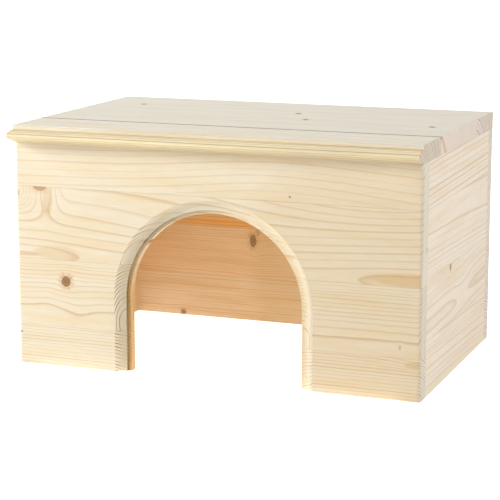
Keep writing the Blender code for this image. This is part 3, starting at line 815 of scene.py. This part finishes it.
def spruce(name, board, slot, seams):
    """Planed, untreated spruce: pale yellow early wood, thin darker late wood, and a dull silky surface.

    The annual rings are cut by the board's own surfaces, so faces show long lines and ends show arcs.
    """
    wood, figure, in_front = WOODS[slot], FIGURES[name], slot == "front_spruce"
    material, tree, shader = plain_material("planed_spruce_" + name, SPRUCE_ROUGHNESS)
    axes = Matrix(np.stack([board.grain, board.across, board.out]).tolist())
    seen = node(tree, "TexCoord")["Object"]
    place = node(tree, "Mapping", (seen, (0, 0, -board.face / MM), axes.to_euler(), (1 / MM,) * 3))
    parted, knots, swelling = place, [], 0.0
    for *spot, darkness in figure.knots:
        parted, offset = knot(tree, parted, spot)
        knots.append((offset, darkness))
    for *spot, growth in figure.swells:
        swelling = swell(tree, place, spot, growth, swelling)
    rings = latewood(tree, parted, figure, swelling)
    fibres = along_grain(tree, parted, *FIBRES)
    fibres = node(tree, "TexNoise", {"Vector": fibres, "Scale": 1, "Detail": 3})["Fac"]
    streaks = along_grain(tree, parted, *STREAKS)
    streaks = node(tree, "TexNoise", {"Vector": streaks, "W": figure.seed, "Scale": 1, "Detail": 2},
                   noise_dimensions="4D")["Fac"]
    streaks = node(tree, "MapRange", (streaks, *STREAK_LIMITS))

    # the outer face is pale sapwood and the nose is cut into riper wood; the walls' deeper inner tone is
    # painted warm shade of the inside of the house
    toned_depth = (NOSE_STEP if slot == "nose_spruce" else DEEP_TONE_DEPTH * board.thickness) / MM
    height = node(tree, "SeparateXYZ", (place,))["Z"]
    ripe = node(tree, "MapRange", (height, -toned_depth / 2, -toned_depth, 0, figure.ripe))
    contrast = figure.contrast
    if slot == "nose_spruce":
        contrast = node(tree, "MapRange", (ripe, 0, 1, TOP_CONTRAST, contrast))
    lines = node(tree, "Math", (rings, contrast), "MULTIPLY")
    # patches of resinous wood, and on the back wall a patch of painted shade
    tints = [(patch(tree, place, spot, amount), RESIN_AND_INNER_SHADE) for *spot, amount in figure.tints]
    colour = wood.early
    for amount, tint in ((ripe, wood.ripe), (streaks, wood.streak), *tints, (lines, wood.late)):
        colour = node(tree, "Mix", (amount, colour, tint), data_type="RGBA")
    for offset, darkness in knots:
        colour = painted_knot(tree, colour, offset, darkness)
    fibre_tone = node(tree, "MapRange", (fibres, *GRAIN_LIMITS, *FIBRE_TONES))
    colour = node(tree, "Mix", (1, colour, fibre_tone), data_type="RGBA", blend_type="MULTIPLY")

    normal = node(tree, "NewGeometry")["Normal"]
    facing = node(tree, "VectorMath", (normal, tuple(board.grain)), "DOT_PRODUCT")
    facing = node(tree, "Math", (facing,), "ABSOLUTE")
    endness = node(tree, "MapRange", (facing, END_GRAIN_STARTS, END_GRAIN_FULL), **SMOOTH)
    ends = end_grain(tree, place, rings, wood, figure, in_front)
    colour = node(tree, "Mix", (endness, colour, ends), data_type="RGBA")
    # the archway's left side: scorch, and painted shade where it faces away from the key light
    if in_front:
        colour = scorched_and_shaded(tree, place, colour)
    # glue lines on the walls; behind the roof's nose, painted shade of the open groove
    glue_and_shade = glue_and_groove_shade(tree, place, seams)
    seam_tint = ROOF_GROOVE_SHADE if name.startswith("roof") else WALL_GLUE
    colour = node(tree, "Mix", (glue_and_shade, colour, seam_tint), data_type="RGBA")
    tree.links.new(colour, shader["Base Color"])

    dull = node(tree, "MapRange", (fibres, *GRAIN_LIMITS, *FIBRE_ROUGHNESS))
    dull = node(tree, "Math", (dull, glue_and_shade), "MAXIMUM")
    tree.links.new(dull, shader["Roughness"])
    height = node(tree, "Math", (rings, RING_RELIEF, fibres), "MULTIPLY_ADD")
    relief = node(tree, "Bump", {"Height": height, "Strength": RELIEF_STRENGTH, "Distance": FIGURE_DEPTH})
    tree.links.new(relief, shader["Normal"])
    return material


def beech(axis):
    """Steamed beech of a rolled dowel: even pinkish tan, short dark flecks along the grain, a low sheen."""
    material, tree, shader = plain_material("beech_dowel_" + "xyz"[axis], BEECH_ROUGHNESS)
    seen = node(tree, "TexCoord")["Object"]
    length, width = BEECH_RAYS
    scales = np.full(3, 1 / width)
    scales[axis] = 1 / length
    flecks = node(tree, "VectorMath", (seen, tuple(scales / MM)), "MULTIPLY")
    flecks = mottled(tree, flecks, 1, BEECH_RAY_LIMITS, (0, 1), detail=1)
    clouds = node(tree, "TexNoise", {"Vector": seen, "Scale": 120, "Detail": 1})["Fac"]
    colour = node(tree, "Mix", (clouds, "#D9B48C", "#CCA278"), data_type="RGBA")
    colour = node(tree, "Mix", (flecks, colour, "#A87C50"), data_type="RGBA")
    tree.links.new(colour, shader["Base Color"])
    relief = node(tree, "Bump", {"Height": flecks, "Strength": BEECH_RELIEF, "Distance": FIGURE_DEPTH})
    tree.links.new(relief, shader["Normal"])
    return material


# The house

DOWELS = sorted(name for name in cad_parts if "_dowel_" in name)
BOARDS = {
    "front": board_of("front_top_stave", UP, -BACKWARDS),
    "back": board_of("back_top_stave", UP, BACKWARDS),
    "right": board_of("right_top_stave", UP, RIGHT),
    "left": board_of("left_top_stave", UP, -RIGHT),
    "roof": board_of("roof_middle_stave", BACKWARDS, UP),
}

# A seam: how dark it is, where more than 1 is fully dark over more of its width, and its width and the depth
# of its groove in millimetres. On the walls it is a glue line, on the roof painted shade in an open groove
Seam = collections.namedtuple("Seam", "strength width depth")
WALL_SEAM = Seam(0.2, 0.45, 50)
ROOF_SEAM = Seam(1.4, 1.6, 2.5)  # behind the nose board: painted shade in a fine open groove
FAINT_SEAM = Seam(0.08, 0.45, 50)

half_width = BOARDS["right"].face
roof_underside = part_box("roof_middle_stave")[0].z
inner_front = BOARDS["front"].thickness - BOARDS["front"].face
inner_back = BOARDS["back"].face - BOARDS["back"].thickness


def seams_of(nodes, places, looks):
    """The glue lines on each stave of a board, from where its staves begin and end."""
    lines = dict(zip([places[node][1] for node in nodes[:-1]], looks))
    return {node: [(seam, lines[seam]) for seam in places[node] if seam in lines] for node in nodes}


def side_and_back_walls():
    """The three plain walls. The sides stand between the front and the back, which reach over their ends."""
    slots = {"back": "back_spruce", "left": "side_spruce", "right": "side_spruce"}
    for wall, slot in slots.items():
        board = BOARDS[wall]
        nodes = [f"{wall}_{row}_stave" for row in ("bottom", "lower", "upper", "top")]
        places = spans(nodes, Z_AXIS, 0, roof_underside)
        seams = seams_of(nodes, places, [WALL_SEAM] * 3)
        if wall == "back":
            ends, radius = (-half_width, half_width), BACK_CORNER_RADIUS
        else:
            ends, radius = sorted(y * board.grain[1] for y in (inner_front, inner_back)), 0
        plan = wall_plan(*ends, radius, board.thickness)
        for stave in nodes:
            dressed(stave, carried_up(board, plan, *places[stave]), board, slot, seams[stave])


def front_wall():
    """The front wall: two rows that the doorway splits, the stave that spans it, and a plain one on top."""
    board = BOARDS["front"]
    rows = [f"front_{row}_stave" for row in ("left_lower", "left_upper", "arch", "top")]
    places = spans(rows, Z_AXIS, 0, roof_underside)
    seams = seams_of(rows, places, [WALL_SEAM] * 3)
    for side, hand in ((-1, "left"), (1, "right")):
        for row in ("lower", "upper"):
            stave, same_row = f"front_{hand}_{row}_stave", f"front_left_{row}_stave"
            rings = jamb_stave(board, side, *places[same_row], half_width)
            dressed(stave, rings, board, "front_spruce", seams[same_row])
    rings = arch_stave(board, *places["front_arch_stave"], half_width)
    dressed("front_arch_stave", rings, board, "front_spruce", seams["front_arch_stave"])
    plan = wall_plan(-half_width, half_width, FRONT_CORNER_RADIUS, board.thickness)
    rings = carried_up(board, plan, *places["front_top_stave"])
    dressed("front_top_stave", rings, board, "front_spruce", seams["front_top_stave"])


def roof():
    """The roof: the board with the moulded nose, and three plain staves behind it."""
    board = BOARDS["roof"]
    nodes = ["roof_nose_board", *(f"roof_{row}_stave" for row in ("front", "middle", "rear"))]
    places = spans(nodes, Y_AXIS, -BOARDS["front"].face, BOARDS["back"].face)
    seams = seams_of(nodes, places, [ROOF_SEAM, FAINT_SEAM, FAINT_SEAM])
    radii = {nodes[1]: (SEAM_ARRIS, 0), nodes[2]: (0, 0), nodes[3]: (0, BACK_CORNER_RADIUS)}
    for stave in nodes:
        start, end = (y + BOARDS["front"].face for y in places[stave])
        if stave in radii:
            outline = roof_outline(start, end, radii[stave], board.thickness)
        else:
            outline = nose_outline(end, board.thickness)
        slot = "roof_spruce" if stave in radii else "nose_spruce"
        dressed(stave, carried_along(board, outline, half_width), board, slot, seams[stave])


side_and_back_walls()
front_wall()
roof()

for axis in range(3):
    dowel_wood = beech(axis)
    for name in DOWELS:
        low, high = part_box(name)
        if np.argmax(high - low) == axis:
            for material_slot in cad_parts[name].material_slots:
                material_slot.material = dowel_wood


# The studio

def lamp(name, place, target, size, watts):
    """A square soft box that faces a point."""
    light = bpy.data.lights.new(name, "AREA")
    light.size, light.energy = size, watts
    box = in_scene(name, light)
    box.location = place
    box.rotation_euler = (Vector(target) - Vector(place)).to_track_quat("-Z", "Y").to_euler()


LAMPS = {
    "key_soft_box": ((-2.3, -1.3, 1.2), 1.0, 74.0),
    "front_soft_box": ((-1.4, -2.0, 1.5), 0.8, 9.5),
    "rear_soft_box": ((-0.4, 1.7, 2.2), 1.6, 23.0),
    "fill_soft_box": ((2.78, -0.3, 0.62), 1.4, 47.0),
}
WORLD_GLOW = 0.02
FLOOR_HALF = 30.0
FLOOR_DROP = 0.05 * MM  # keeps the floor clear of the wood that stands on it
INNER_GLOW = 0.84  # the paper is lit from below, most strongly under the house
OUTER_GLOW = 0.06
GLOW_FADES = (0.88, 0.94)  # of the way from the middle of the house to its sides
PAPER_WHITE = "#F4F4F2"
PAPER_ROUGHNESS = 0.9


def overexposed(tree, strength):
    """A strength that shows as full white, also in the wood's sheen, and that lights less than it shows."""
    rays = node(tree, "LightPath")
    shown = node(tree, "Math", (rays["Is Camera Ray"], rays["Is Glossy Ray"]), "MAXIMUM")
    return node(tree, "Math", (shown, strength), "MAXIMUM")


def pale_floor():
    """A wide matt floor, white enough to run into the background, and clear when seen from below."""
    mesh = bpy.data.meshes.new("studio_floor")
    signs = (-1, -1), (1, -1), (1, 1), (-1, 1)
    corners = [(x * FLOOR_HALF, y * FLOOR_HALF, -FLOOR_DROP) for x, y in signs]
    mesh.from_pydata(corners, [], [(0, 1, 2, 3)])
    floor = in_scene("studio_floor", mesh)
    paper, tree, shader = plain_material("white_paper_sweep", PAPER_ROUGHNESS)
    shader["Base Color"].default_value = linear(PAPER_WHITE)
    shader["Emission Color"].default_value = linear("#FFFFFF")
    share = node(tree, "VectorMath", (
        node(tree, "TexCoord")["Object"], (1 / cad_box[1].x, 1 / cad_box[1].y, 0)), "MULTIPLY")
    share = node(tree, "VectorMath", (share,), "ABSOLUTE")
    sides = node(tree, "SeparateXYZ", (share,))
    share = node(tree, "Math", (sides["X"], sides["Y"]), "MAXIMUM")
    glow = node(tree, "MapRange", (share, *GLOW_FADES, INNER_GLOW, OUTER_GLOW))
    tree.links.new(overexposed(tree, glow), shader["Emission Strength"])
    behind = node(tree, "NewGeometry")["Backfacing"]
    lit = tree.nodes["Principled BSDF"].outputs["BSDF"]
    surface = node(tree, "MixShader", (behind, lit, node(tree, "BsdfTransparent")))
    tree.links.new(surface, tree.nodes["Material Output"].inputs["Surface"])
    mesh.materials.append(paper)


def studio():
    """White surroundings, a large soft box in front on the left and a weaker one on the right."""
    world = bpy.data.worlds.new("studio_world")
    world.use_nodes = True
    background = world.node_tree.nodes["Background"]
    background.inputs["Color"].default_value = linear("#FFFFFF")
    world.node_tree.links.new(overexposed(world.node_tree, WORLD_GLOW), background.inputs["Strength"])
    bpy.context.scene.world = world
    bpy.context.scene.view_settings.view_transform = "Standard"
    for name, (place, size, watts) in LAMPS.items():
        lamp(name, place, (0, 0, cad_box[1].z / 2), size, watts)
    pale_floor()


def photo_camera():
    """The photograph's camera: a short telephoto to the right of the doorway, looking slightly down."""
    lens = bpy.data.cameras.new("photo_camera")
    lens.sensor_width = SENSOR_WIDTH
    lens.lens = FOCAL_PIXELS / FRAME_PIXELS * SENSOR_WIDTH
    camera = in_scene("photo_camera", lens)
    camera.location = CAMERA_PLACE
    camera.rotation_euler = (math.pi / 2 - CAMERA_DIP, 0, CAMERA_TURN)
    bpy.context.scene.camera = camera


studio()
photo_camera()
